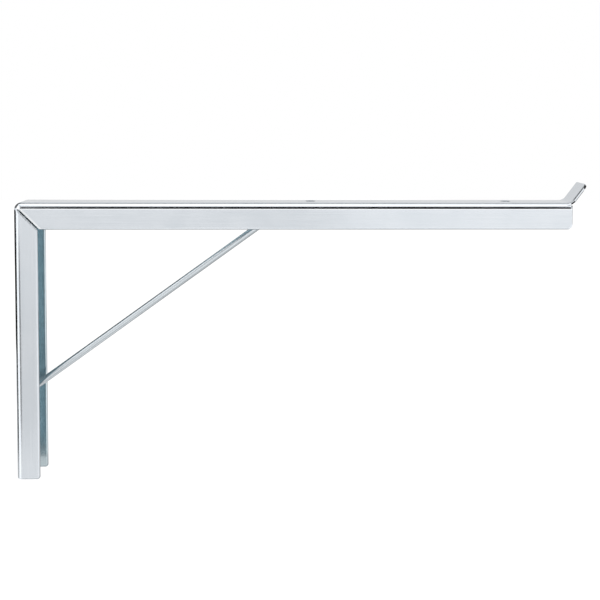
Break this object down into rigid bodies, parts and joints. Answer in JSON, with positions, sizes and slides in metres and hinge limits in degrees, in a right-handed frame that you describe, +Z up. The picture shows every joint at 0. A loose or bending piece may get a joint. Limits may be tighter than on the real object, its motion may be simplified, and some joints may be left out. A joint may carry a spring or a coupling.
{
  "type": "shelf bracket",
  "caption": "Wall shelf bracket folded from plated steel channel, with an upturned lip at the arm's free end and a slanted round rod brace welded between leg and arm.",
  "frame": {"origin": "on the wall plane, which is the back face of the leg's web, midway between the two wall screw holes", "axes": "+X out from the wall along the arm, +Y across the channel, +Z up; the bracket is mirror-symmetric about the plane Y = 0"},
  "size_m": [0.5, 0.035, 0.2594],
  "materials": {
    "plated_sheet": "bright bluish zinc plating on rolled steel sheet, satin",
    "plated_rod": "bright bluish zinc plating on drawn steel rod, satin"
  },
  "bodies": {
    "root": {"folded_channel": "plated_sheet", "brace_rod": "plated_rod"}
  },
  "joints": []
}
